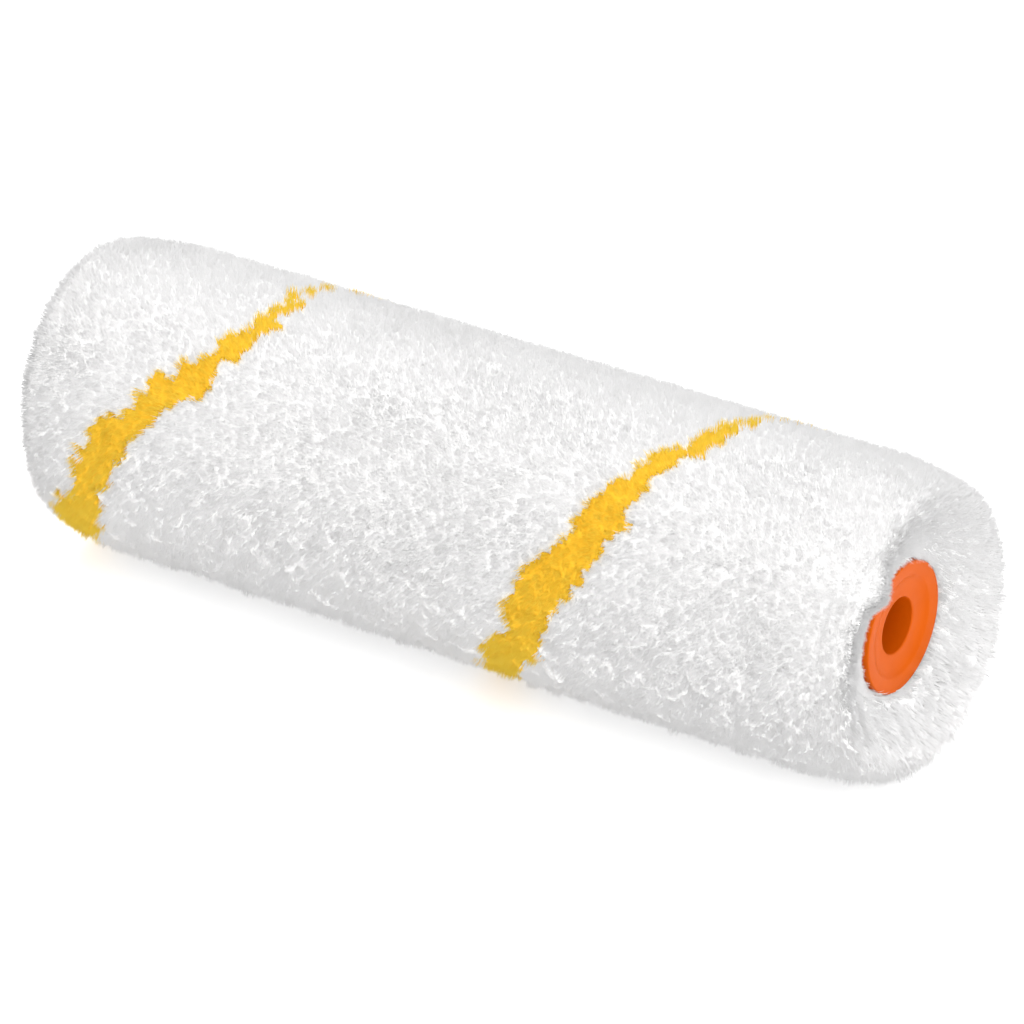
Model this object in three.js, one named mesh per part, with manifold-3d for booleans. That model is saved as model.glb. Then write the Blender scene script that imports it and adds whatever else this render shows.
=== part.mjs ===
// A mini paint roller sleeve: the refill that slides onto a bent-wire frame.
//
// The sleeve is wound on a long mandrel. Two plastic plies are wound as a helix, one over the
// other with their seams half a turn apart, and make the core. A thin plastic film bonds a strip
// of pile fabric round the core. The strip is a knitted backing that carries long white pile and
// one band of yellow pile, so the yellow band runs round the sleeve as a helix. After the winding
// is cut to length, a flanged plastic hub is pressed into each end. The sleeve spins on the
// frame's wire, which runs in the bores of both hubs.
//
// Millimetres. X runs along the axis, with the front hub at +X. Z is up. The origin is the middle
// of the sleeve, on its axis. Turned shapes all have the same facets, and one facet faces down, so
// the sleeve lies on it without rolling.

import * as THREE from 'three';
import { mergeVertices } from 'three/addons/utils/BufferGeometryUtils.js';
import Module from 'manifold-3d';

const wasm = await Module();
wasm.setup();

// ---- Driving dimensions ----

const FACETS = 32; // sides of every turned shape
const LENGTH = 110; // over the faces of the two hub flanges
const LAYER_GAP = 0.05; // left between one layer and the next

const WIRE_RADIUS = 3; // the frame's wire, which the sleeve spins on
const WIRE_CLEARANCE = 0.4; // between the wire and a hub's bore
const LIP_CLEARANCE = 0.15; // between the wire and a hub's snap lips

const CORE_BORE_RADIUS = 6.5;
const PLY_THICKNESS = 0.55;
const FILM_THICKNESS = 0.2;
const BACKING_THICKNESS = 0.8;
const SEAM_WIDTH = 0.3; // between neighbouring turns of a wound strip

const PILE_HEIGHT = 10.7; // from the backing to the tips, on a sleeve 39 across
const PILE_OVERHANG = 3.75; // how far the splayed pile stands past a flange
const PILE_TAPER_LENGTH = 8.5; // the pile thins a little over this length at each end
const PILE_TAPER_DEPTH = 0.95;
const PILE_CORNER_RADIUS = 3;
const PILE_CREST_RADIUS = 15; // where the end of the pile starts to dip towards the hub
const DIMPLE_DEPTH = 3.5; // from the crest of the pile's end to the foot of its dimple

const WINDING_PITCH = 60; // the helix rises this much each turn
const BAND_START = -57.9; // where the yellow band crosses the line along the bottom
const BAND_STEPS = 61; // its length, in facets of the sleeve
const BAND_ROOT_WIDTH = 3; // along the axis, at the backing
const BAND_TIP_WIDTH = 5; // along the axis, at the tips of the pile
const BAND_GAP = 0.3; // between yellow and white pile, on each side

const FLANGE_THICKNESS = 1.2;
const FLANGE_RADIUS = 8;
const FLANGE_EDGE_RADIUS = 0.4;
const DISH_RADIUS = 6.4; // the shallow dish in the flange, which leads the wire in
const DISH_DEPTH = 0.8; // from the flange's face to the mouth of the bore
const SLEEVE_RADIUS = 4.4; // the hub's inner sleeve, which runs on the wire
const SLEEVE_DEPTH = 20; // from the flange to the tips of the snap fingers
const BARREL_RADIUS = 6.2; // the hub's outer barrel, which fills the core
const BARREL_WALL = 1;
const BARREL_DEPTH = 14;
const HUB_ROOF = 2.8; // solid depth under the flange, before the ring-shaped pocket
const WEB_COUNT = 4;
const WEB_THICKNESS = 0.9;
const RIB_COUNT = 8; // crush ribs that grip the core
const RIB_WIDTH = 0.9;
const RIB_RADIUS = 6.42;
const RIB_DEPTH = 12.8;
const FINGER_LENGTH = 8; // four snap fingers at the inner end of the hub's sleeve
const SLOT_WIDTH = 1; // between one finger and the next

// ---- Worked out from them ----

const BORE_RADIUS = WIRE_RADIUS + WIRE_CLEARANCE;
const LIP_RADIUS = WIRE_RADIUS + LIP_CLEARANCE;
const FLANGE_SEAT = LENGTH / 2 - FLANGE_THICKNESS; // x of a flange's inner face
const CORE_END = FLANGE_SEAT - 2 * LAYER_GAP; // x where the plies and the fabric are cut
const PILE_END = LENGTH / 2 + PILE_OVERHANG;

const innerPly = layerFrom(CORE_BORE_RADIUS, PLY_THICKNESS);
const outerPly = layerFrom(innerPly.outer + LAYER_GAP, PLY_THICKNESS);
const film = layerFrom(outerPly.outer + LAYER_GAP, FILM_THICKNESS);
const backing = layerFrom(film.outer + LAYER_GAP, BACKING_THICKNESS);
const pile = layerFrom(backing.outer + LAYER_GAP, PILE_HEIGHT);

function layerFrom(inner, thickness) {
  return { inner, outer: inner + thickness };
}

// ---- Solids ----

// A closed three.js geometry as a manifold-3d solid.
function solidOf(geometry) {
  const bare = new THREE.BufferGeometry()
    .setAttribute('position', geometry.getAttribute('position'))
    .setIndex(geometry.getIndex());
  const merged = mergeVertices(bare, 1e-4);
  return new wasm.Manifold(
    new wasm.Mesh({
      numProp: 3,
      vertProperties: merged.attributes.position.array,
      triVerts: new Uint32Array(merged.index.array),
    }),
  );
}

// A solid as a named three.js mesh.
function meshOf(solid, name, material) {
  const { vertProperties, triVerts } = solid.getMesh();
  const geometry = new THREE.BufferGeometry()
    .setAttribute('position', new THREE.BufferAttribute(new Float32Array(vertProperties), 3))
    .setIndex(new THREE.BufferAttribute(new Uint32Array(triVerts), 1));
  geometry.computeVertexNormals();
  const mesh = new THREE.Mesh(geometry, material);
  mesh.name = name;
  return mesh;
}

// Turns an outline of (radius, x) points about the X axis. The outline closes on itself.
function turned(outline) {
  const closed = [...outline, outline[0]];
  const halfFacet = Math.PI / FACETS;
  const lathe = new THREE.LatheGeometry(closed, FACETS, halfFacet, 2 * Math.PI);
  lathe.rotateZ(-Math.PI / 2);
  return solidOf(lathe);
}

// A plain tube along X, centred on the origin.
function tube(layer, halfLength) {
  return turned([
    new THREE.Vector2(layer.inner, halfLength),
    new THREE.Vector2(layer.inner, -halfLength),
    new THREE.Vector2(layer.outer, -halfLength),
    new THREE.Vector2(layer.outer, halfLength),
  ]);
}

// A box of the given size, moved to its place and then turned about X.
function blockAt(size, centre, angle) {
  const box = new THREE.BoxGeometry(size.x, size.y, size.z);
  box.translate(centre.x, centre.y, centre.z);
  box.rotateX(angle);
  return solidOf(box);
}

// A ribbon that follows the winding. It is a long box whose short sides run outwards and along
// the axis, wrapped round the sleeve. Its steps fall on the edges between facets. Step 0 is just
// before the bottom line, and the ribbon climbs past -Y to the top as it moves towards +X. It
// reaches a little past both faces of its layer, so that it cuts right through.
function windingRibbon({ layer, start, firstStep, lastStep, rootWidth, tipWidth, endGap = 0 }) {
  const reach = 1;
  const steps = lastStep - firstStep;
  const ribbon = new THREE.BoxGeometry(1, 1, 1, 1, 1, steps);
  const place = ribbon.getAttribute('position');
  for (let i = 0; i < place.count; i++) {
    const outwards = place.getX(i) + 0.5;
    const sideways = place.getY(i);
    const step = Math.round(steps * (place.getZ(i) + 0.5));
    const radius = THREE.MathUtils.lerp(layer.inner - reach, layer.outer + reach, outwards);
    const depth = THREE.MathUtils.inverseLerp(layer.inner, layer.outer, radius);
    const width = rootWidth + (tipWidth - rootWidth) * depth;
    let turn = (firstStep + step - 0.5) / FACETS;
    if (step === 0) turn -= endGap;
    if (step === steps) turn += endGap;
    const angle = 2 * Math.PI * turn;
    place.setXYZ(
      i,
      start + WINDING_PITCH * turn + sideways * width,
      -radius * Math.sin(angle),
      -radius * Math.cos(angle),
    );
  }
  return solidOf(ribbon);
}

// A strip wound edge to edge into a tube. Its one seam crosses the bottom line at seamStart.
function woundStrip(layer, seamStart) {
  const seam = windingRibbon({
    layer,
    start: seamStart,
    firstStep: Math.floor((FACETS * (-LENGTH / 2 - seamStart)) / WINDING_PITCH),
    lastStep: Math.ceil((FACETS * (LENGTH / 2 - seamStart)) / WINDING_PITCH) + 1,
    rootWidth: SEAM_WIDTH,
    tipWidth: SEAM_WIDTH,
  });
  return tube(layer, CORE_END).subtract(seam);
}

// ---- Core, film and backing ----

function buildWinding(materials) {
  const quarterTurn = WINDING_PITCH / 4;
  return [
    meshOf(woundStrip(innerPly, BAND_START), 'core_inner_ply', materials.core),
    meshOf(woundStrip(outerPly, BAND_START + 2 * quarterTurn), 'core_outer_ply', materials.core),
    meshOf(woundStrip(film, BAND_START + 3 * quarterTurn), 'bonding_film', materials.film),
    meshOf(woundStrip(backing, BAND_START + quarterTurn), 'knit_backing', materials.backing),
  ];
}

// ---- Pile ----

// Half of the pile's outline, from the middle of the sleeve to its end, as (radius, x) points.
function pileHalfOutline() {
  const cornerFoot = PILE_END - PILE_CORNER_RADIUS;
  const shoulder = pile.outer - PILE_TAPER_DEPTH;
  const taperStart = cornerFoot - PILE_TAPER_LENGTH;
  const dimpleFoot = PILE_END - DIMPLE_DEPTH;
  const path = new THREE.Path();
  path.moveTo(pile.outer, taperStart);
  path.quadraticCurveTo(pile.outer, cornerFoot - PILE_TAPER_LENGTH / 2, shoulder, cornerFoot);
  const cornerCentre = shoulder - PILE_CORNER_RADIUS;
  path.absarc(cornerCentre, cornerFoot, PILE_CORNER_RADIUS, 0, Math.PI / 2, false);
  path.lineTo(PILE_CREST_RADIUS, PILE_END);
  path.quadraticCurveTo(pile.inner + 3, PILE_END - 1.2, pile.inner, dimpleFoot);
  return path.getPoints(4);
}

function buildPile(materials) {
  const half = pileHalfOutline();
  const mirrored = half.map((p) => new THREE.Vector2(p.x, -p.y)).reverse();
  const body = turned([...mirrored, ...half]);
  const band = {
    layer: pile,
    start: BAND_START,
    firstStep: 0,
    lastStep: BAND_STEPS,
    rootWidth: BAND_ROOT_WIDTH,
    tipWidth: BAND_TIP_WIDTH,
  };
  const groove = windingRibbon({
    ...band,
    rootWidth: BAND_ROOT_WIDTH + 2 * BAND_GAP,
    tipWidth: BAND_TIP_WIDTH + 2 * BAND_GAP,
    endGap: BAND_GAP / (2 * Math.PI * pile.inner),
  });
  return [
    meshOf(body.subtract(groove), 'white_pile', materials.whitePile),
    meshOf(body.intersect(windingRibbon(band)), 'yellow_pile', materials.yellowPile),
  ];
}

// ---- Hubs ----

// The hub's outline as (radius, x) points, with x = 0 at the flange's inner face.
function hubOutline() {
  const mouth = FLANGE_THICKNESS - DISH_DEPTH;
  const path = new THREE.Path();
  path.moveTo(BORE_RADIUS, mouth);
  path.lineTo(BORE_RADIUS, -SLEEVE_DEPTH + 1.4);
  path.lineTo(LIP_RADIUS, -SLEEVE_DEPTH + 0.8);
  path.lineTo(LIP_RADIUS, -SLEEVE_DEPTH + 0.3);
  path.lineTo(LIP_RADIUS + 0.3, -SLEEVE_DEPTH);
  path.lineTo(SLEEVE_RADIUS - 0.4, -SLEEVE_DEPTH);
  path.lineTo(SLEEVE_RADIUS, -SLEEVE_DEPTH + 0.6);
  path.lineTo(SLEEVE_RADIUS, -HUB_ROOF);
  path.lineTo(BARREL_RADIUS - BARREL_WALL, -HUB_ROOF);
  path.lineTo(BARREL_RADIUS - BARREL_WALL, -BARREL_DEPTH);
  path.lineTo(BARREL_RADIUS - 0.4, -BARREL_DEPTH);
  path.lineTo(BARREL_RADIUS, -BARREL_DEPTH + 0.8);
  path.lineTo(BARREL_RADIUS, 0);
  path.lineTo(FLANGE_RADIUS, 0);
  const edgeRadius = FLANGE_RADIUS - FLANGE_EDGE_RADIUS;
  const edgeFoot = FLANGE_THICKNESS - FLANGE_EDGE_RADIUS;
  path.absarc(edgeRadius, edgeFoot, FLANGE_EDGE_RADIUS, 0, Math.PI / 2, false);
  path.lineTo(DISH_RADIUS, FLANGE_THICKNESS);
  path.quadraticCurveTo(DISH_RADIUS - 0.9, mouth + 0.1, BORE_RADIUS, mouth);
  const points = path.getPoints(4);
  points.pop(); // the last point is the first one again
  return points;
}

function hubSolid() {
  let hub = turned(hubOutline());
  const pocketMiddle = (SLEEVE_RADIUS + BARREL_RADIUS - BARREL_WALL) / 2;
  const fingerRoot = SLEEVE_DEPTH - FINGER_LENGTH;
  for (let i = 0; i < WEB_COUNT; i++) {
    const depth = fingerRoot - HUB_ROOF / 2;
    const size = new THREE.Vector3(depth, WEB_THICKNESS, 1.4);
    const centre = new THREE.Vector3(depth / 2 - fingerRoot, 0, pocketMiddle);
    hub = hub.add(blockAt(size, centre, ((i + 0.5) * 2 * Math.PI) / WEB_COUNT));
  }
  for (let i = 0; i < RIB_COUNT; i++) {
    const height = RIB_RADIUS - BARREL_RADIUS + BARREL_WALL / 2;
    const size = new THREE.Vector3(RIB_DEPTH, RIB_WIDTH, height);
    const centre = new THREE.Vector3(-RIB_DEPTH / 2, 0, RIB_RADIUS - height / 2);
    hub = hub.add(blockAt(size, centre, (i * 2 * Math.PI) / RIB_COUNT));
  }
  const pastTips = 1;
  for (const angle of [0, Math.PI / 2]) {
    const size = new THREE.Vector3(FINGER_LENGTH + pastTips, SLOT_WIDTH, 2 * SLEEVE_RADIUS + 0.6);
    const centre = new THREE.Vector3(-fingerRoot - size.x / 2, 0, 0);
    hub = hub.subtract(blockAt(size, centre, angle));
  }
  return hub;
}

function buildHubs(materials) {
  const front = meshOf(hubSolid(), 'front_hub', materials.hub);
  front.position.x = FLANGE_SEAT;
  const rear = meshOf(hubSolid(), 'rear_hub', materials.hub);
  rear.position.x = -FLANGE_SEAT;
  rear.rotation.z = Math.PI;
  return [front, rear];
}

// ---- The sleeve ----

function plainMaterial(color, roughness) {
  return new THREE.MeshStandardMaterial({ color, roughness, metalness: 0, flatShading: true });
}

const materials = {
  core: plainMaterial(0xe9e7df, 0.45),
  film: plainMaterial(0xd9dbdd, 0.35),
  backing: plainMaterial(0xe4dfd2, 0.95),
  whitePile: plainMaterial(0xf1efef, 1),
  yellowPile: plainMaterial(0xf8c42f, 1),
  hub: plainMaterial(0xee6a1e, 0.4),
};

const sleeve = new THREE.Group();
sleeve.name = 'paint_roller_sleeve';
sleeve.add(...buildWinding(materials), ...buildPile(materials), ...buildHubs(materials));

export default sleeve;
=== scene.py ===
# %% [markdown]
# # A mini paint roller sleeve
#
# This is the refill that slides onto a roller frame. A strip of fluffy fabric is wound round a
# thin plastic tube as a helix, and a flanged orange hub is pressed into each end. One row of
# yellow yarn in the fabric turns into the yellow band that climbs round the sleeve.
#
# A sleeve like this is nearly all fur. The plain way would be a cylinder with a bumpy material,
# but its outline would stay a ruler line. Here every visible tuft is real geometry: soft clumps
# give the big shape, and fine fibres on top of them give the fluff.

import math

import bmesh
import bpy
import numpy as np
from mathutils import Matrix, Vector, kdtree


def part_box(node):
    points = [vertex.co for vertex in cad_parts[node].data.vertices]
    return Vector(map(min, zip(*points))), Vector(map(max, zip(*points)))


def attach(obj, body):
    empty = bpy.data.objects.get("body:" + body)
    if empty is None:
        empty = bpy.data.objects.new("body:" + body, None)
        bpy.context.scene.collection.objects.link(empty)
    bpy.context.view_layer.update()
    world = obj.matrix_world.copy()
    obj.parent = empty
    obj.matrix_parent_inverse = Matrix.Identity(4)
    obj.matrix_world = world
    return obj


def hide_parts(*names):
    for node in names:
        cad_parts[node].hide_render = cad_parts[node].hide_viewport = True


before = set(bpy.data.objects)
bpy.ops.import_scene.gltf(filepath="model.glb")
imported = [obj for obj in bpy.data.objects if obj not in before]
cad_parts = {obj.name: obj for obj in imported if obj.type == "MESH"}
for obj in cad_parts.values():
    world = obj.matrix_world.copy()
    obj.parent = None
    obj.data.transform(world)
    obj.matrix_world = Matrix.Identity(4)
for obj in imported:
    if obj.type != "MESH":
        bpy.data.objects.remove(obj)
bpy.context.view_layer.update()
MM = 0.001
print("nodes:", ", ".join(sorted(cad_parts)))

# %% [markdown]
# ## Sizes
#
# The frame already holds the sleeve's sizes, so they are read from its nodes and not typed again.
# Only what the frame can't say is given here: the winding, and how the yellow row wanders. The
# fabric strip climbs one pitch for each turn. A turn of 0 is the line along the bottom, and a
# quarter turn later the strip is on the -Y side.

# %% Read the sizes
FACETS = 32  # sides of the frame's round shapes, whose corners lie on the true circle
TO_CIRCLE = 1 / math.cos(math.pi / FACETS)


def radius_of(node):
    """The radius of a round node, from the height of its flat facets."""
    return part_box(node)[1].z * TO_CIRCLE


PILE_RADIUS = radius_of("white_pile")
PILE_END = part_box("white_pile")[1].x
BACKING_RADIUS = radius_of("knit_backing")
CORE_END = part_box("knit_backing")[1].x
FLANGE_RADIUS = radius_of("front_hub")
FLOOR_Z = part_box("white_pile")[0].z

PITCH = 60 * MM  # along the axis, for one turn
BAND_START = -57.9 * MM  # where the yellow band crosses the bottom line
BAND_TURNS = (-0.01, 1.85)

# How the yellow row wanders: at this turn, its shift along the axis and its half width, in mm.
BAND_COURSE = [
    (0.00, -1.6, 2.6),
    (0.16, -2.8, 3.8),
    (0.19, -2.5, 3.2),
    (0.21, -1.4, 2.2),
    (0.24, -2.2, 2.4),
    (0.28, -2.8, 3.6),
    (0.31, -1.0, 3.0),
    (0.34, -0.3, 2.6),
    (0.36, 1.1, 3.3),
    (0.39, 1.3, 2.5),
    (0.42, 2.2, 1.4),
    (0.46, 1.2, 1.4),
    (0.49, 0.2, 1.6),
    (0.51, -1.8, 1.0),
    (0.56, -3.4, 0.5),
    (0.66, -1.0, 2.2),
    (1.12, -0.8, 2.6),
    (1.16, 0.0, 3.5),
    (1.21, 0.7, 2.9),
    (1.24, -0.7, 3.3),
    (1.29, -0.4, 3.4),
    (1.36, 0.1, 2.8),
    (1.41, -1.0, 2.0),
    (1.44, -0.8, 2.2),
    (1.46, 0.0, 1.5),
    (1.51, -1.5, 1.4),
    (1.56, -3.1, 0.2),
    (1.66, -1.0, 2.2),
    (1.85, 0.0, 2.4),
]
print(f"pile {2 * PILE_RADIUS / MM:.1f} mm across and {2 * PILE_END / MM:.1f} mm long")


# %% [markdown]
# ## Camera
#
# The sleeve lies on a pale floor, seen from in front and well above, with its near end to the
# right. A long lens keeps its two ends nearly the same size.

# %% Camera
CAMERA_AZIMUTH = 33.0
CAMERA_ELEVATION = 28.6
CAMERA_DISTANCE = 770 * MM
CAMERA_LENS = 230.0
SENSOR_WIDTH = 36.0
AIM_RIGHT = 1.6 * MM
AIM_UP = -1.2 * MM


def camera_axes(azimuth, elevation):
    """The camera's right, up and back directions."""
    a, e = math.radians(azimuth), math.radians(elevation)
    back = Vector((math.sin(a) * math.cos(e), -math.cos(a) * math.cos(e), math.sin(e)))
    right = Vector((math.cos(a), math.sin(a), 0))
    return right, back.cross(right), back


def add_camera():
    """A camera with a long lens, aimed near the middle of the sleeve."""
    right, up, back = camera_axes(CAMERA_AZIMUTH, CAMERA_ELEVATION)
    camera = bpy.data.objects.new("camera", bpy.data.cameras.new("camera"))
    camera.data.lens = CAMERA_LENS
    camera.data.sensor_width = SENSOR_WIDTH
    camera.location = right * AIM_RIGHT + up * AIM_UP + back * CAMERA_DISTANCE
    camera.rotation_mode = "QUATERNION"
    camera.rotation_quaternion = (-back).to_track_quat("-Z", "Y")
    bpy.context.scene.collection.objects.link(camera)
    bpy.context.scene.camera = camera


add_camera()
print(f"the camera is {CAMERA_DISTANCE / MM:.0f} mm away")

# %% [markdown]
# ## Light and floor
#
# A white, fluffy thing needs very soft light, or each tuft throws a black shadow. So a bright even
# sky does most of the work. Three broad panels only shape it: one above makes the top a little
# brighter, one faces the near end, and a weak one fills the front. The floor glows faintly, as a
# light table does, which keeps the sleeve's own shadow pale.

# %% Light and floor
FLOOR_GLOW = 0.45
SKY_STRENGTH = 1.08
PANEL_SIZE = 0.6
PANELS = [  # name, place and watts
    ("overhead_panel", (-0.15, -0.1, 0.8), 2.3),
    ("end_panel", (0.8, -0.2, 0.4), 2.8),
    ("front_panel", (0.2, -0.8, 0.4), 0.8),
]


def plain_material(name, colour, roughness):
    """A new material with one Principled shader, whose plain values are set on its own sockets."""
    material = bpy.data.materials.new(name)
    material.use_nodes = True
    shader = material.node_tree.nodes["Principled BSDF"]
    shader.inputs["Base Color"].default_value = (*colour, 1)
    shader.inputs["Roughness"].default_value = roughness
    return material, shader


def add_floor():
    """A pale, faintly glowing floor, which is no part of the sleeve."""
    bm = bmesh.new()
    bmesh.ops.create_grid(bm, x_segments=1, y_segments=1, size=3)
    bmesh.ops.translate(bm, verts=bm.verts, vec=(0, 0, FLOOR_Z))
    floor = new_object("floor", bm)
    material, shader = plain_material("light_table", (0.78, 0.78, 0.78), 0.9)
    shader.inputs["Emission Color"].default_value = (1, 1, 1, 1)
    shader.inputs["Emission Strength"].default_value = FLOOR_GLOW
    floor.data.materials.append(material)


def new_object(name, bm):
    """Turns a bmesh into an object in the scene, with its faces smooth."""
    for face in bm.faces:
        face.smooth = True
    mesh = bpy.data.meshes.new(name)
    bm.to_mesh(mesh)
    bm.free()
    made = bpy.data.objects.new(name, mesh)
    bpy.context.scene.collection.objects.link(made)
    return made


def add_panel(name, place, watts):
    """A square lamp that faces the sleeve."""
    lamp = bpy.data.lights.new(name, "AREA")
    lamp.shape = "SQUARE"
    lamp.size = PANEL_SIZE
    lamp.energy = watts
    panel = bpy.data.objects.new(name, lamp)
    panel.location = place
    panel.rotation_mode = "QUATERNION"
    panel.rotation_quaternion = (-Vector(place)).to_track_quat("-Z", "Y")
    bpy.context.scene.collection.objects.link(panel)


def add_sky():
    """An even white sky."""
    world = bpy.data.worlds.new("studio")
    world.use_nodes = True
    background = world.node_tree.nodes["Background"]
    background.inputs["Color"].default_value = (1, 1, 1, 1)
    background.inputs["Strength"].default_value = SKY_STRENGTH
    bpy.context.scene.world = world


add_floor()
add_sky()
for name, place, watts in PANELS:
    add_panel(name, place, watts)
bpy.context.scene.view_settings.view_transform = "Standard"
print(f"{len(PANELS)} panels, {sum(watts for *_, watts in PANELS):.1f} watts in all")


# %% [markdown]
# ## The outline of the pile
#
# Everything fluffy follows one outline: half a section through the sleeve. It runs from the foot
# of the dimple at the rear hub, over the rounded end, along the barrel and round the front end.
# It is drawn once as a few straight and curved stretches, and then walked at even steps.

# %% Pile outline
TAPER_LENGTH = 8.5 * MM
TAPER_DEPTH = 0.95 * MM
CORNER_RADIUS = 3 * MM
CREST_RADIUS = 15 * MM
DIMPLE_DEPTH = 3.4 * MM
DIMPLE_FOOT_RADIUS = FLANGE_RADIUS + 0.15 * MM
OUTLINE_STEP = 0.1 * MM


def curved(start, control, end, steps):
    """Points of a quadratic curve, without its start."""
    found = []
    for i in range(1, steps + 1):
        t = i / steps
        found.append(start.lerp(control, t).lerp(control.lerp(end, t), t))
    return found


def half_outline():
    """(x, radius) points from the barrel to the foot of the front dimple."""
    corner_foot = PILE_END - CORNER_RADIUS
    shoulder = PILE_RADIUS - TAPER_DEPTH
    start = Vector((corner_foot - TAPER_LENGTH, PILE_RADIUS))
    bend = Vector((corner_foot - TAPER_LENGTH / 2, PILE_RADIUS))
    found = [start, *curved(start, bend, Vector((corner_foot, shoulder)), 12)]
    for i in range(1, 13):
        angle = math.radians(90 * i / 12)
        x = corner_foot + CORNER_RADIUS * math.sin(angle)
        found.append(Vector((x, shoulder - CORNER_RADIUS * (1 - math.cos(angle)))))
    crest = Vector((PILE_END, CREST_RADIUS))
    foot = Vector((PILE_END - DIMPLE_DEPTH, DIMPLE_FOOT_RADIUS))
    bend = Vector((PILE_END - 1.2 * MM, DIMPLE_FOOT_RADIUS + 3 * MM))
    return [*found, crest, *curved(crest, bend, foot, 12)]


def even_outline(step):
    """The whole outline at even steps: arrays of x, radius, and the outward normal's two parts."""
    half = np.array(half_outline())
    whole = np.concatenate([half[::-1] * (-1, 1), half])
    lengths = np.linalg.norm(np.diff(whole, axis=0), axis=1)
    along = np.concatenate([[0], np.cumsum(lengths)])
    count = int(round(along[-1] / step))
    places = np.linspace(0, along[-1], count + 1)
    x = np.interp(places, along, whole[:, 0])
    radius = np.interp(places, along, whole[:, 1])
    dx, dr = np.gradient(x, places), np.gradient(radius, places)
    size = np.hypot(dx, dr)
    return x, radius, -dr / size, dx / size


OUTLINE = even_outline(OUTLINE_STEP)
print(f"the outline is {len(OUTLINE[0]) * OUTLINE_STEP / MM:.0f} mm long")

# %% [markdown]
# ## Materials
#
# Two node groups are shared. One mottles a colour, so that no plastic or cloth is perfectly even.
# The other tints yarn: each fibre mesh carries a UV map whose first value is a fibre's own tone and
# whose second value runs from its root to its tip. Roots are coloured darker as painted shade, for
# they sit in their neighbours' shade, and tips are paler, so a fibre gets lighter along its length.

# %% Shared node groups
def new_group(name, takes, gives):
    """An empty shader node group with these sockets, given as (name, type) pairs."""
    group = bpy.data.node_groups.new(name, "ShaderNodeTree")
    for socket, kind in takes:
        group.interface.new_socket(socket, in_out="INPUT", socket_type=kind)
    for socket, kind in gives:
        group.interface.new_socket(socket, in_out="OUTPUT", socket_type=kind)
    return group, group.nodes.new("NodeGroupInput"), group.nodes.new("NodeGroupOutput")


def mottle_group():
    """Mixes two colours by soft noise, and gives the same noise as a height."""
    group, taken, given = new_group(
        "mottle",
        [("Dark", "NodeSocketColor"), ("Light", "NodeSocketColor"), ("Scale", "NodeSocketFloat")],
        [("Colour", "NodeSocketColor"), ("Height", "NodeSocketFloat")],
    )
    place = group.nodes.new("ShaderNodeTexCoord")
    noisy = group.nodes.new("ShaderNodeTexNoise")
    noisy.inputs["Detail"].default_value = 4
    mix = group.nodes.new("ShaderNodeMix")
    mix.data_type = "RGBA"
    link = group.links.new
    link(place.outputs["Object"], noisy.inputs["Vector"])
    link(taken.outputs["Scale"], noisy.inputs["Scale"])
    link(noisy.outputs["Fac"], mix.inputs["Factor"])
    link(taken.outputs["Dark"], mix.inputs["A"])
    link(taken.outputs["Light"], mix.inputs["B"])
    link(mix.outputs["Result"], given.inputs["Colour"])
    link(noisy.outputs["Fac"], given.inputs["Height"])
    return group


def fibre_tint_group():
    """The colour at one spot of one fibre, from the two values in the fibre's UV map."""
    group, taken, given = new_group(
        "fibre_tint",
        [("Root", "NodeSocketColor"), ("Tip", "NodeSocketColor"), ("Pale", "NodeSocketColor")],
        [("Colour", "NodeSocketColor")],
    )
    spot = group.nodes.new("ShaderNodeUVMap")
    spot.uv_map = "OFBake"
    parts = group.nodes.new("ShaderNodeSeparateXYZ")
    along = group.nodes.new("ShaderNodeMix")
    along.data_type = "RGBA"
    tone = group.nodes.new("ShaderNodeMix")
    tone.data_type = "RGBA"
    share = group.nodes.new("ShaderNodeMath")
    share.operation = "MULTIPLY"
    share.inputs[1].default_value = 0.6
    link = group.links.new
    link(spot.outputs["UV"], parts.inputs["Vector"])
    link(parts.outputs["Y"], along.inputs["Factor"])
    link(taken.outputs["Root"], along.inputs["A"])
    link(taken.outputs["Tip"], along.inputs["B"])
    link(parts.outputs["X"], share.inputs[0])
    link(share.outputs["Value"], tone.inputs["Factor"])
    link(along.outputs["Result"], tone.inputs["A"])
    link(taken.outputs["Pale"], tone.inputs["B"])
    link(tone.outputs["Result"], given.inputs["Colour"])
    return group


MOTTLE, FIBRE_TINT = mottle_group(), fibre_tint_group()


# %% Materials
def add_group(material, group, values):
    """A node for this group in this material, with these values on its inputs."""
    node = material.node_tree.nodes.new("ShaderNodeGroup")
    node.node_tree = group
    for name, value in values.items():
        node.inputs[name].default_value = value
    return node


def mottled(name, dark, light, scale, roughness, bump):
    """A material of soft noise between two colours, with a fine relief."""
    material, shader = plain_material(name, light, roughness)
    node = add_group(material, MOTTLE, {"Dark": (*dark, 1), "Light": (*light, 1), "Scale": scale})
    link = material.node_tree.links.new
    link(node.outputs["Colour"], shader.inputs["Base Color"])
    relief = material.node_tree.nodes.new("ShaderNodeBump")
    relief.inputs["Strength"].default_value = bump
    relief.inputs["Distance"].default_value = 0.1 * MM
    link(node.outputs["Height"], relief.inputs["Height"])
    link(relief.outputs["Normal"], shader.inputs["Normal"])
    return material, shader


def yarn(name, root, tip, pale):
    """Soft, matt yarn for fibres that carry the tone map."""
    material, shader = plain_material(name, tip, 0.95)
    colours = {"Root": (*root, 1), "Tip": (*tip, 1), "Pale": (*pale, 1)}
    node = add_group(material, FIBRE_TINT, colours)
    material.node_tree.links.new(node.outputs["Colour"], shader.inputs["Base Color"])
    shader.inputs["Specular IOR Level"].default_value = 0.2
    return material


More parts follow.
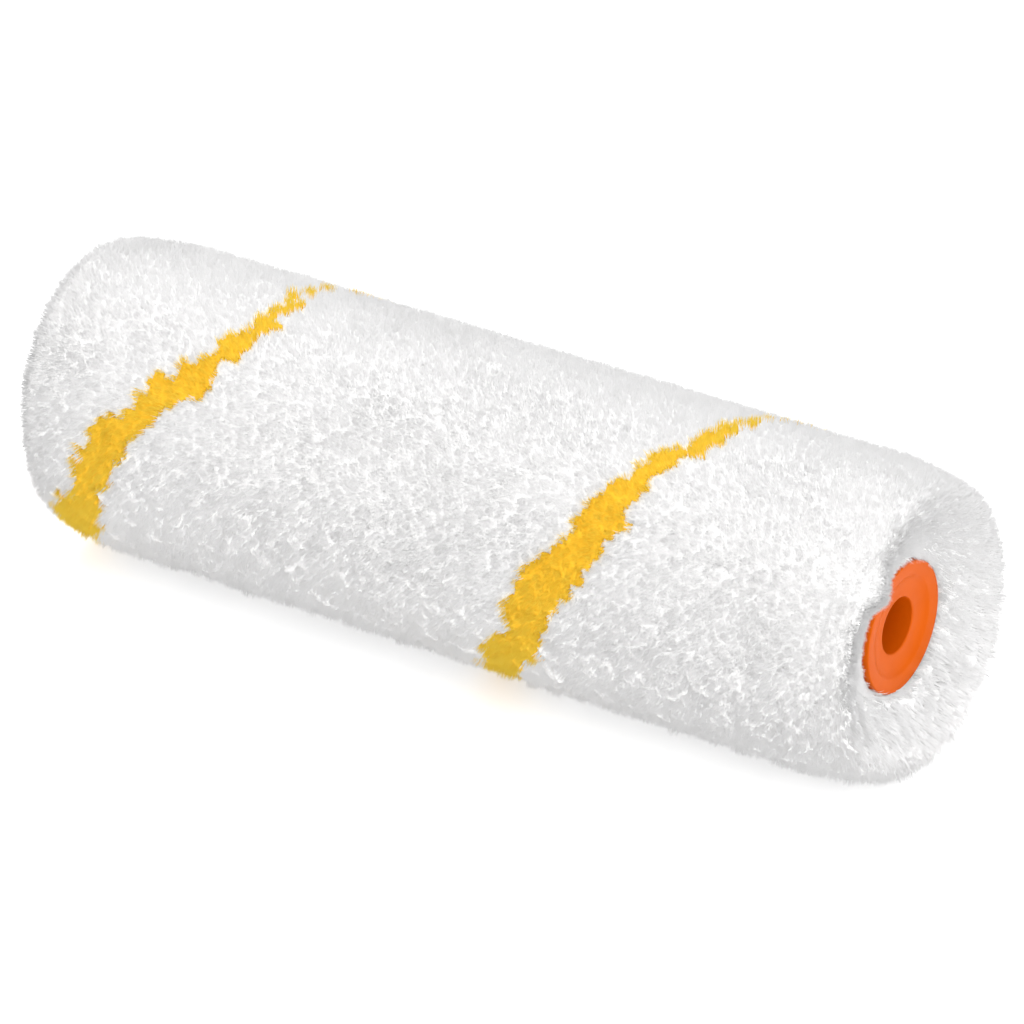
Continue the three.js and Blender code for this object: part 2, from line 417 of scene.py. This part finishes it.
def orange_moulding():
    """Satin orange plastic. Its sheen is weak, so that white surroundings don't wash it out."""
    material, shader = mottled(
        "orange_moulding", (0.5, 0.078, 0.0006), (0.58, 0.095, 0.001), 350, 0.36, bump=0.15
    )
    shader.inputs["Specular IOR Level"].default_value = 0.06
    return material


WHITE = (0.94, 0.935, 0.935)
YELLOW = (0.98, 0.67, 0.055)
MOTTLED = {  # dark and light colour, scale, roughness and relief
    # The mats are darker than their fibres' own colour, as painted shade deep in the pile.
    "white_mat": ((0.79, 0.785, 0.78), (0.85, 0.845, 0.84), 900, 0.95, 0.5),
    "yellow_mat": ((0.88, 0.5, 0.02), (0.95, 0.58, 0.03), 900, 0.95, 0.5),
    "core_strip": ((0.76, 0.745, 0.69), (0.83, 0.815, 0.76), 60, 0.42, 0.1),
    "melted_film": ((0.66, 0.68, 0.7), (0.76, 0.77, 0.79), 180, 0.25, 0.5),
    "knit_yarn": ((0.7, 0.67, 0.6), (0.8, 0.775, 0.71), 700, 0.95, 0.6),
}
MATERIALS = {
    # Each fibre's root colour is darker than its tip: painted shade from its neighbours.
    "white_fibre": yarn("white_fibre", (0.9, 0.893, 0.89), WHITE, (0.96, 0.958, 0.956)),
    "yellow_fibre": yarn("yellow_fibre", (0.95, 0.56, 0.02), YELLOW, (0.99, 0.72, 0.09)),
    **{name: mottled(name, *values)[0] for name, values in MOTTLED.items()},
    "orange_moulding": orange_moulding(),
}
print(len(MATERIALS), "materials")


def keep(piece, material, node):
    """Gives a piece its material, and ties it to the frame in place of a node."""
    piece.data.materials.append(MATERIALS[material])
    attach(piece, "root")
    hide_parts(node)


# %% [markdown]
# ## Points spread over the pile
#
# Fur needs a great many roots, spread evenly but with no visible rows. Plain random numbers leave
# bald spots. A low-discrepancy sequence steps by two fixed fractions, and fills any area evenly
# however many points it has. Each point comes with its outward direction.

# %% Spread points
STEP_U, STEP_V = 1 / 1.3247179572, 1 / 1.3247179572**2
rng = np.random.default_rng(7)


def place_round(x, radius, turn):
    """Points at these places along the axis, radii and turns."""
    angle = 2 * np.pi * turn
    return np.stack([x, -radius * np.sin(angle), -radius * np.cos(angle)], -1)


def unit(vectors):
    """These vectors, each made 1 long."""
    return vectors / np.linalg.norm(vectors, axis=-1, keepdims=True)


def flattened(vectors, normals):
    """These vectors without their part along the normals."""
    return vectors - np.sum(vectors * normals, axis=1)[:, None] * normals


def spread_on_pile(count, start):
    """Evenly spread points on the pile's outline: their places, outward directions and turns."""
    share = np.cumsum(OUTLINE[1])
    i = np.arange(count)
    at = np.interp((start + i * STEP_U) % 1, share / share[-1], np.arange(len(share)))
    turn = (start + i * STEP_V) % 1
    x, radius, normal_x, normal_r = (np.interp(at, np.arange(len(share)), p) for p in OUTLINE)
    return place_round(x, radius, turn), unit(place_round(normal_x, normal_r, turn)), turn


PILE_AREA = 2 * np.pi * np.sum(OUTLINE[1]) * OUTLINE_STEP
print(f"the pile's surface is {PILE_AREA / MM**2:.0f} square mm")

# %% [markdown]
# ## Ends that aren't quite square
#
# Soft pile never stands square at its ends. It stands out further where it was pressed last, and
# a lock here and there sticks up. A few listed values, one for each turn, push the front end out
# or in, and draw some of it over the rim of the hub. The rear end takes the same values the other
# way round, so that the two ends differ. Underneath, the pile lies flattened on the floor.

# %% Uneven ends
# At this turn: how far the pile stands out, and how far it is drawn over the hub's rim, in mm.
END_SHAPE = [
    (0.00, 0.6, 0.75),
    (0.08, 0.0, 0.7),
    (0.15, -0.9, 0.3),
    (0.23, -1.3, 0.0),
    (0.32, -1.3, 0.0),
    (0.345, -0.9, 0.0),
    (0.365, 0.8, 0.2),
    (0.385, 0.5, 0.2),
    (0.41, -0.6, 0.1),
    (0.48, -0.6, 0.4),
    (0.55, -0.4, 0.7),
    (0.65, 0.3, 0.3),
    (0.75, 1.0, 0.0),
    (0.86, 1.3, 0.7),
    (0.93, 1.1, 0.8),
    (1.00, 0.6, 0.75),
]
END_ZONE = 14 * MM  # how far in from the end the pile still follows
RIM_REACH = 10.2 * MM  # inside this radius the pile can be drawn over the hub
RIM_BLEND = 1.6 * MM
REAR_TURN = 0.4  # where the rear end's values start
CLEARANCE = 0.1 * MM  # between the pile and the backing's end
FLOOR_LIFT = 0.08 * MM  # of a flattened fibre's middle over the floor


def uneven(places):
    """Moves places on or in the pile as its uneven ends do."""
    x, radius = places[:, 0], np.linalg.norm(places[:, 1:], axis=1)
    turns = (np.arctan2(-places[:, 1], -places[:, 2]) / (2 * np.pi)) % 1
    turns = np.where(x > 0, turns, (REAR_TURN - turns) % 1)
    shape = np.array(END_SHAPE)
    out = np.interp(turns, shape[:, 0], shape[:, 1]) * MM
    drawn = np.interp(turns, shape[:, 0], shape[:, 2]) * MM
    near = np.clip((np.abs(x) - PILE_END + END_ZONE) / END_ZONE, 0, 1) ** 2
    inside = np.clip((RIM_REACH - radius) / RIM_BLEND, 0, 1) * (near > 0.3)
    moved = places.copy()
    moved[:, 0] += np.sign(x) * (out * near + 0.3 * drawn * inside)
    buried = (np.abs(x) > CORE_END) & (np.abs(moved[:, 0]) < CORE_END + CLEARANCE)
    moved[buried, 0] = np.sign(x[buried]) * (CORE_END + CLEARANCE)  # none goes into the backing
    moved[:, 1:] *= (1 - drawn * inside / radius)[:, None]
    moved[:, 2] = np.maximum(moved[:, 2], FLOOR_Z + FLOOR_LIFT)
    return moved


stands = [out for _, out, _ in END_SHAPE]
print(f"the pile's ends stand from {min(stands)} to {max(stands)} mm out")

# %% [markdown]
# ## Clumps
#
# Yarn ends don't stand alone. Each tuft of yarn holds together a little, and leans its own way
# with its neighbours. So the fibres are gathered round a few thousand clump centres. A clump has
# one colour, a height and a lean, and that alone makes the ragged edge of the yellow band.

# %% Clumps
CLUMP_SPACING = 1.35 * MM
CLUMP_RISE = 0.1 * MM  # how much clumps differ in height
BAND_SLACK = 0.35 * MM  # how ragged the band's edge is


def waves(places, scale, seed):
    """Smooth random directions that change over about this distance, one for each place."""
    dice = np.random.default_rng(seed)
    total = np.zeros((len(places), 3))
    for _ in range(6):
        direction = unit(dice.normal(size=3))
        phase = dice.uniform(0, 2 * np.pi, 3)
        steep = dice.uniform(0.7, 1.5) / scale
        total += np.sin((places @ direction * steep)[:, None] + phase)
    return total / math.sqrt(6)


def in_band(places, turns, slack):
    """Which places lie on the yellow row, whose edge is moved by slack."""
    course = np.array(BAND_COURSE)
    found = np.zeros(len(places), bool)
    for lap in (-1, 0, 1):
        total = turns + lap
        shift = np.interp(total, course[:, 0], course[:, 1]) * MM
        half = np.interp(total, course[:, 0], course[:, 2]) * MM
        off = np.abs(places[:, 0] - (BAND_START + PITCH * total + shift))
        reach = (total > BAND_TURNS[0]) & (total < BAND_TURNS[1])
        found |= reach & (off < half + slack)
    return found


class Clumps:
    """Where the clumps are, and what each is like."""

    def __init__(self):
        count = int(PILE_AREA / CLUMP_SPACING**2)
        self.places, normals, turns = spread_on_pile(count, 0.31)
        self.places += rng.normal(0, 0.22 * MM, self.places.shape)
        low = np.clip(np.cos(2 * np.pi * turns) + 0.2, 0, 1)  # rougher underneath, unbrushed
        self.rise = rng.normal(0, CLUMP_RISE, count) * (1 + 1.6 * low)
        lean = 0.15 * waves(self.places, 2.5 * MM, 1) + 0.2 * waves(self.places, 9 * MM, 2)
        lean += rng.normal(0, 0.11, lean.shape) * (1 + 1.2 * low)[:, None]
        self.lean = flattened(lean, normals)
        self.tone = rng.uniform(0, 1, count)
        self.yellow = in_band(self.places, turns, rng.normal(0, BAND_SLACK, count))
        self.yellow &= normals[:, 0] < 0.3  # none shows on the front end
        self.tree = kdtree.KDTree(count)
        for i, place in enumerate(self.places):
            self.tree.insert(place, i)
        self.tree.balance()

    def nearest(self, places):
        """For each place, the index of its clump and how far off its centre is."""
        found = [self.tree.find(place)[1:] for place in places]
        return tuple(np.array(part) for part in zip(*found))


clumps = Clumps()
print(f"{len(clumps.tone)} clumps, {clumps.yellow.sum()} of them yellow")

# %% [markdown]
# ## The dense mat under the tips
#
# Packed fibres hide what is below them. A solid mat a millimetre under the tips stands for that
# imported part, so the fibres only have to be long enough to show. It is the pile's outline, spun
# round the axis, with a soft bump for each clump. Where the band runs, the mat is lowered and a
# yellow shell lies on it.

# %% The mat
MAT_DEPTH = 1.2 * MM
MAT_STEP = 0.55 * MM
CLUMP_ARCH = 0.12  # how much lower a clump's edge is than its middle, in mm, at half a spacing
SHELL = 0.5 * MM


def mat_outline():
    """The closed section of the mat: its outside, then its inside past the hub and the backing."""
    x, radius, normal_x, normal_r = OUTLINE
    every = int(round(MAT_STEP / OUTLINE_STEP))
    outside = np.stack([x - normal_x * MAT_DEPTH, radius - normal_r * MAT_DEPTH], -1)[::every]
    outside = outside[outside[:, 1] > DIMPLE_FOOT_RADIUS]
    behind = CORE_END + 0.5 * MM
    past_backing = BACKING_RADIUS + 0.1 * MM
    inside = [
        (behind, DIMPLE_FOOT_RADIUS),
        (CORE_END + 0.1 * MM, DIMPLE_FOOT_RADIUS),
        (CORE_END + 0.1 * MM, past_backing),
    ]
    mirrored = [(-x, r) for x, r in reversed(inside)]
    return [*map(tuple, outside), *inside, *mirrored]


def spun(section, steps, angle=2 * math.pi, start=0.0, advance=0.0):
    """A bmesh made by turning a closed (x, radius) section about the X axis."""
    bm = bmesh.new()
    turn = Matrix.Rotation(start, 4, "X")
    corners = [bm.verts.new(turn @ Vector((x, 0, -r))) for x, r in section]
    edges = [bm.edges.new((a, b)) for a, b in zip(corners, corners[1:] + corners[:1])]
    bmesh.ops.spin(
        bm, geom=[*corners, *edges], cent=(0, 0, 0), axis=(1, 0, 0), angle=angle,
        dvec=(advance / steps, 0, 0), steps=steps, use_merge=angle >= 6.28 and not advance,
    )
    bmesh.ops.recalc_face_normals(bm, faces=bm.faces)
    return bm


def corners_of(bm):
    """The places of a bmesh's corners, as one array."""
    return np.array([v.co[:] for v in bm.verts])


def set_corners(bm, places):
    """Moves a bmesh's corners to these places."""
    for corner, place in zip(bm.verts, places):
        corner.co = place


def build_mat():
    """The white mat and the yellow shell that lies on it."""
    bm = spun(mat_outline(), int(2 * math.pi * PILE_RADIUS / MAT_STEP))
    bm.normal_update()
    places = corners_of(bm)
    outward = np.array([v.normal[:] for v in bm.verts])
    clump, off = clumps.nearest(places)
    radius = np.linalg.norm(places[:, 1:], axis=1)
    free = np.clip((radius - DIMPLE_FOOT_RADIUS - 0.6 * MM) / (1.2 * MM), 0, 1)
    off = (off - MAT_DEPTH).clip(0)
    bump = clumps.rise[clump] - CLUMP_ARCH * MM * (off / CLUMP_SPACING * 2) ** 2
    yellow = clumps.yellow[clump] & (free > 0.99)
    places += outward * (bump * free)[:, None]
    outer = radius > BACKING_RADIUS + 0.2 * MM
    places[outer] = uneven(places)[outer]
    set_corners(bm, places)

    shell = bm.copy()
    shell.verts.ensure_lookup_table()
    bare = [f for f in shell.faces if not all(yellow[v.index] for v in f.verts)]
    bmesh.ops.delete(shell, geom=bare, context="FACES")
    # Parts of the shell that meet at one corner only would share an edge once it has thickness.
    while pinched := [v for v in shell.verts if sum(e.is_boundary for e in v.link_edges) > 2]:
        touching = {f for v in pinched for f in v.link_faces}
        bmesh.ops.delete(shell, geom=list(touching), context="FACES")
    bmesh.ops.solidify(shell, geom=shell.faces[:], thickness=SHELL)
    bmesh.ops.recalc_face_normals(shell, faces=shell.faces)

    places -= outward * (0.6 * SHELL * yellow)[:, None]
    set_corners(bm, places)
    return new_object("white_mat", bm), new_object("yellow_mat", shell)


white_mat, yellow_mat = build_mat()
keep(white_mat, "white_mat", "white_pile")
keep(yellow_mat, "yellow_mat", "yellow_pile")
print(f"mats of {len(white_mat.data.polygons)} and {len(yellow_mat.data.polygons)} faces")

# %% [markdown]
# ## Fibres
#
# A fibre is a thin, three-sided spike. Two kinds are modelled once each, with bmesh: a straight
# one, and one cut across below its middle so that it can bend. All their copies are then placed
# at once with numpy, because a loop over a hundred thousand objects would take minutes. Each copy
# starts under the surface, leans with its clump, and its tip is drawn a little towards the clump's
# middle. Its shading normals lean towards the pile's own outward direction. Real fibres let light
# through, so fur shades as softly as that, and never as a crowd of hard spikes.

# %% Two kinds of fibre
BEND_AT = 0.45


def one_fibre(bent):
    """The corners of a fibre, from 0 to 1 along Z, and its triangles."""
    bm = bmesh.new()
    bmesh.ops.create_cone(
        bm, cap_ends=True, segments=3, radius1=1, radius2=0, depth=1,
        matrix=Matrix.Translation((0, 0, 0.5)),
    )
    bmesh.ops.remove_doubles(bm, verts=bm.verts, dist=1e-5)
    if bent:
        everything = [*bm.verts, *bm.edges, *bm.faces]
        middle = Vector((0, 0, BEND_AT))
        bmesh.ops.bisect_plane(bm, geom=everything, plane_co=middle, plane_no=(0, 0, 1))
        for corner in bm.verts:
            if 0.01 < corner.co.z < 0.99:  # the bend keeps nearly the root's thickness
                corner.co.xy *= 1.5
    bmesh.ops.triangulate(bm, faces=bm.faces)
    bm.verts.index_update()
    corners = corners_of(bm)
    triangles = np.array([[v.index for v in face.verts] for face in bm.faces])
    bm.free()
    return corners, triangles


BENT, STRAIGHT = one_fibre(True), one_fibre(False)
print(f"a bent fibre has {len(BENT[1])} triangles, a straight one {len(STRAIGHT[1])}")


# %% Copies of a fibre
SOFTNESS = 0.82  # how far shading normals lean from a fibre's side to the pile's outside


def across(direction):
    """Two directions square to each of these and to each other."""
    helper = np.where(np.abs(direction[:, :1]) < 0.7, [[1.0, 0, 0]], [[0, 1.0, 0]])
    first = unit(np.cross(direction, helper))
    return first, np.cross(direction, first)


def fibre_object(name, shape, root, bend, tip, thickness, tone, outward):
    """One mesh of fibres. Its UV map holds each fibre's tone, and how far along it one is."""
    model, faces = shape
    count, size = len(root), len(model)
    x, y, z = (model[None, :, k : k + 1] for k in range(3))
    first, second = (a[:, None] for a in across(unit(tip - root)))
    low, high = np.clip(z / BEND_AT, 0, 1), np.clip((z - BEND_AT) / (1 - BEND_AT), 0, 1)
    spine = root[:, None] + (bend - root)[:, None] * low + (tip - bend)[:, None] * high
    side = first * x + second * y
    corners = spine + side * thickness[:, None, None]
    sideways = side / np.maximum(np.hypot(x, y), 0.01)
    normals = unit((1 - SOFTNESS) * sideways + SOFTNESS * outward[:, None])

    triangles = faces[None] + (np.arange(count) * size)[:, None, None]
    mesh = bpy.data.meshes.new(name)
    mesh.vertices.add(count * size)
    mesh.vertices.foreach_set("co", corners.astype(np.float32).ravel())
    mesh.loops.add(triangles.size)
    mesh.loops.foreach_set("vertex_index", triangles.astype(np.int32).ravel())
    mesh.polygons.add(triangles.size // 3)
    mesh.polygons.foreach_set("loop_start", np.arange(0, triangles.size, 3, dtype=np.int32))
    mesh.polygons.foreach_set("use_smooth", np.ones(triangles.size // 3, bool))
    tones = 0.03 + 0.94 * tone[:, None] + 0.02 * x[..., 0]
    spot = np.stack([tones, np.broadcast_to(0.02 + 0.96 * z[..., 0], tones.shape)], -1)
    layer = mesh.uv_layers.new(name="OFBake")
    layer.uv.foreach_set("vector", spot[:, faces].astype(np.float32).ravel())
    mesh.update(calc_edges=True)
    mesh.normals_split_custom_set_from_vertices(normals.reshape(-1, 3).astype(np.float32))
    made = bpy.data.objects.new(name, mesh)
    bpy.context.scene.collection.objects.link(made)
    return made


# %% Growing them
FIBRE_THICKNESS = 0.065 * MM
FIBRE_LEAN = 0.33  # how differently the fibres of one clump lean
FIBRE_RISE = 0.1 * MM  # and how much their tips differ in height
TUFTS, TUFT_DEPTH = 5.0, 2.2 * MM  # how many fibres on a square mm, and how deep their roots are
NAPS, NAP_DEPTH = 12.0, 1.5 * MM
DIMPLE_FACING = 2.5  # how strongly fibres in the dimple are shaded as if they faced along the axis


class Growth:
    """Roots, bends, tips and the rest, for one kind of fibre."""

    def __init__(self, per_mm2, depth, start):
        count = int(PILE_AREA / MM**2 * per_mm2)
        places, normals, _ = spread_on_pile(count, start)
        self.clump, off = clumps.nearest(places)
        inward = flattened(clumps.places[self.clump] - places, normals)

        # Fibres fan out from the backing, so those at the ends of the sleeve lean along the axis.
        seat = places.copy()
        seat[:, 0] = np.clip(seat[:, 0], -CORE_END, CORE_END)
        seat[:, 1:] = BACKING_RADIUS * unit(seat[:, 1:])
        fan = unit(unit(places - seat) + 0.9 * normals)

        lean = clumps.lean[self.clump] + rng.normal(0, FIBRE_LEAN, places.shape)
        lean = flattened(lean, normals)
        deep = depth * rng.uniform(0.85, 1.15, count)[:, None]
        rise = clumps.rise[self.clump] - CLUMP_ARCH * MM * (off / CLUMP_SPACING * 2) ** 2
        rise += rng.normal(0, FIBRE_RISE, count) - FIBRE_RISE
        self.root = places - fan * deep + inward * 0.05
        self.bend = places - fan * deep * (1 - BEND_AT) + lean * deep * 0.12 + inward * 0.1
        self.tip = places + normals * rise[:, None] + lean * deep * 0.4 + inward * 0.2
        self.thickness = FIBRE_THICKNESS * rng.uniform(0.75, 1.25, count)
        self.tone = 0.5 * clumps.tone[self.clump] + 0.5 * rng.uniform(0, 1, count)

        # Light in the end's dimple is thrown from wall to wall, so all of it shades as if flat.
        radius = np.linalg.norm(places[:, 1:], axis=1)
        dimpled = np.clip((CREST_RADIUS + MM - radius) / (3 * MM), 0, 1)
        facing = np.sign(places[:, :1]) * dimpled[:, None] * (DIMPLE_FACING, 0, 0)
        self.outward = unit(normals + 0.5 * fan + 0.25 * lean + facing)

        for part in ("root", "bend", "tip"):
            setattr(self, part, uneven(getattr(self, part)))

    def share(self, chosen):
        """What fibre_object takes, for the chosen fibres."""
        parts = ("root", "bend", "tip", "thickness", "tone", "outward")
        return [getattr(self, part)[chosen] for part in parts]


MOST_TRIANGLES = 190_000  # in one mesh


def add_fibres(name, shape, growth, chosen, material, node):
    """Fibres in meshes that aren't too large, one after another along the axis."""
    order = np.flatnonzero(chosen)
    order = order[np.argsort(growth.root[order, 0])]
    parts = math.ceil(len(order) * len(shape[1]) / MOST_TRIANGLES)
    for i, share in enumerate(np.array_split(order, parts)):
        piece = fibre_object(f"{name}_{i + 1}", shape, *growth.share(share))
        keep(piece, material, node)
    print(f"{name}: {len(order)} fibres in {parts} meshes")


for kind, shape, growth in [
    ("tuft", BENT, Growth(TUFTS, TUFT_DEPTH, 0.77)),
    ("nap", STRAIGHT, Growth(NAPS, NAP_DEPTH, 0.13)),
]:
    yellow = clumps.yellow[growth.clump]
    add_fibres(f"white_{kind}", shape, growth, ~yellow, "white_fibre", "white_pile")
    add_fibres(f"yellow_{kind}", shape, growth, yellow, "yellow_fibre", "yellow_pile")

# %% [markdown]
# ## The hubs
#
# A hub is a turned shape: a rounded flange with a dished mouth, a barrel that fills the core, and
# an inner sleeve that runs on the wire. Its section is drawn as a closed outline, the corners are
# rounded with a vertex bevel, and the section is spun. The snap fingers at its inner end are four
# shorter spins with gaps between them, and webs and crush ribs are rounded blocks.

# %% The hub's section
HUB_STEPS = 96
FLANGE_THICKNESS = 1.2
FINGERS = 4
RIBS = 8


def rounded_section(points, sharp):
    """A closed (x, radius) outline with its corners rounded, except those listed as sharp."""
    bm = bmesh.new()
    corners = [bm.verts.new((x, 0, r)) for x, r in points]
    for a, b in zip(corners, corners[1:] + corners[:1]):
        bm.edges.new((a, b))
    chosen = [v for i, v in enumerate(corners) if i not in sharp]
    bmesh.ops.bevel(
        bm, geom=chosen, offset=0.18 * MM, segments=3, profile=0.5, affect="VERTICES", material=-1
    )
    start = min(bm.verts, key=lambda v: (v.co.x, v.co.z))
    order, edge = [start], start.link_edges[0]
    while True:
        after = edge.other_vert(order[-1])
        if after is start:
            break
        order.append(after)
        edge = next(e for e in after.link_edges if e is not edge)
    found = [(v.co.x, v.co.z) for v in order]
    bm.free()
    return found


def mm(*pairs):
    """These (x, radius) pairs, given in mm, in metres."""
    return [(x * MM, r * MM) for x, r in pairs]


def hub_section():
    """The hub without its fingers, with x = 0 at the flange's inner face."""
    face = FLANGE_THICKNESS
    dish = curved(Vector((face, 6.4)), Vector((0.3, 5.7)), Vector((0.4, 3.4)), 8)
    outline = mm(
        (-12.2, 3.4), (-12.2, 4.4), (-2.8, 4.4), (-2.8, 5.2), (-14, 5.2), (-14, 5.8), (-13.2, 6.2),
        (0, 6.2), (0, 8), (face, 8), *[tuple(p) for p in dish],
    )
    smooth = range(len(outline) - len(dish) + 1, len(outline) - 1)
    return rounded_section(outline, set(smooth) | {0, 1, 5, 6})


FINGER_SECTION = mm(
    (-12, 3.4), (-18.6, 3.4), (-19.2, 3.15), (-19.7, 3.15),
    (-20, 3.45), (-20, 4), (-19.4, 4.4), (-12, 4.4),
)
print(f"the hub's section has {len(hub_section())} corners")


# %% Build a hub
def add_block(bm, size, centre, angle):
    """A block with rounded edges, moved to its place and turned about X."""
    block = bmesh.new()
    bmesh.ops.create_cube(block, size=MM)
    bmesh.ops.scale(block, vec=size, verts=block.verts)
    bmesh.ops.bevel(
        block, geom=block.edges, offset=0.1 * MM, segments=2, profile=0.5, affect="EDGES",
        material=-1,
    )
    place = Matrix.Rotation(angle, 4, "X") @ Matrix.Translation(Vector(centre) * MM)
    bmesh.ops.transform(block, matrix=place, verts=block.verts)
    join(bm, block)


def join(bm, other):
    """Adds another bmesh to this one, and frees it."""
    carried = bpy.data.meshes.new("carried")
    other.to_mesh(carried)
    other.free()
    bm.from_mesh(carried)
    bpy.data.meshes.remove(carried)


def hub_mesh():
    """The turned body, with its snap fingers, their webs, and the ribs that grip the core."""
    bm = spun(hub_section(), HUB_STEPS)
    gap = 1.0 / 3.9  # a slot's width as an angle, at the middle of the finger
    quarter = 2 * math.pi / FINGERS
    for i in range(FINGERS):
        finger = spun(FINGER_SECTION, 18, quarter - gap, i * quarter + gap / 2)
        ends = [e for e in finger.edges if e.is_boundary]
        bmesh.ops.holes_fill(finger, edges=ends)
        bmesh.ops.recalc_face_normals(finger, faces=finger.faces)
        join(bm, finger)
        add_block(bm, (10.6, 0.9, 1.4), (-6.7, 0, 4.8), (i + 0.5) * quarter)
    for i in range(RIBS):
        add_block(bm, (12.8, 0.9, 0.72), (-6.4, 0, 6.06), i * 2 * math.pi / RIBS)
    return bm


def build_hub(name, side):
    """The hub for the front end, side 1, or the rear end, side -1."""
    bm = hub_mesh()
    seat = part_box("front_hub")[1].x - FLANGE_THICKNESS * MM
    bmesh.ops.translate(bm, verts=bm.verts, vec=(seat, 0, 0))
    if side < 0:
        half_turn = Matrix.Rotation(math.pi, 3, "Z")
        bmesh.ops.rotate(bm, verts=bm.verts, cent=(0, 0, 0), matrix=half_turn)
    hub = new_object(name, bm)
    hub.data.set_sharp_from_angle(angle=math.radians(40))
    keep(hub, "orange_moulding", name)
    hub.name = f"{name}_moulding"
    return hub


for name, side in (("front_hub", 1), ("rear_hub", -1)):
    hub = build_hub(name, side)
    print(f"{hub.name} has {len(hub.data.polygons)} faces")

# %% [markdown]
# ## The wound layers
#
# Two plastic plies, the bonding film and the knitted backing are strips, each wound edge to edge
# as a helix. A strip's section is spun while it moves along the axis, which makes the helix and
# its one seam. Then the ends are cut off flat, just as a long wound tube is cut into sleeves.
# The knit's ribs run along its strip. A strip wound at this slant is as wide as the pitch times
# the cosine of its helix angle, and its length follows from the tube's area.

# %% Wound strips
SEAM = 0.3 * MM  # between neighbouring turns
STEPS_A_TURN = 96


def wound_strip(inner, outer, seam_start, columns, rib):
    """A strip wound into a tube and cut flat at both ends. Every other column can be a low rib."""
    first = math.floor((-CORE_END - seam_start) / PITCH) - 1
    last = math.ceil((CORE_END - seam_start) / PITCH)
    low, high = SEAM / 2, PITCH - SEAM / 2
    along = [low + (high - low) * i / columns for i in range(columns + 1)]
    section = [(x, outer - rib * (i % 2)) for i, x in enumerate(along)]
    section += [(x, inner) for x in reversed(along)]
    turns = last - first
    start_x = seam_start + PITCH * first
    section = [(start_x + x, r) for x, r in section]
    bm = spun(section, turns * STEPS_A_TURN, -2 * math.pi * turns, 0, PITCH * turns)
    for side in (-1, 1):
        everything = [*bm.verts, *bm.edges, *bm.faces]
        cut = bmesh.ops.bisect_plane(
            bm, geom=everything, plane_co=(side * CORE_END, 0, 0), plane_no=(side, 0, 0),
            clear_outer=True,
        )
        edges = [g for g in cut["geom_cut"] if isinstance(g, bmesh.types.BMEdge)]
        bmesh.ops.triangle_fill(bm, edges=edges, use_beauty=True)
    bmesh.ops.recalc_face_normals(bm, faces=bm.faces)
    return bm


def build_layer(name, node, inner, outer, seam_start, material, columns=12, rib=0.0):
    """One wound layer between two radii in mm, as a finished piece that replaces its node."""
    bm = wound_strip(inner * MM, outer * MM, seam_start, columns, rib * MM)
    open_edges = sum(1 for edge in bm.edges if edge.is_boundary)
    layer = new_object(name, bm)
    layer.data.set_sharp_from_angle(angle=math.radians(40))
    keep(layer, material, node)
    print(f"{name}: {len(layer.data.polygons)} faces, {open_edges} open edges")
    return layer


def seam(quarters):
    """Where a seam crosses the bottom line, this many quarter pitches past the band."""
    return BAND_START + quarters * PITCH / 4


build_layer("inner_ply_strip", "core_inner_ply", 6.5, 7.05, seam(0), "core_strip")
build_layer("outer_ply_strip", "core_outer_ply", 7.1, 7.65, seam(2), "core_strip")
build_layer("film_strip", "bonding_film", 7.7, 7.9, seam(3), "melted_film")
KNIT_INNER, KNIT_OUTER = 7.95, 8.75
backing = build_layer(
    "backing_strip", "knit_backing", KNIT_INNER, KNIT_OUTER, seam(1), "knit_yarn",
    columns=60, rib=0.1,
)
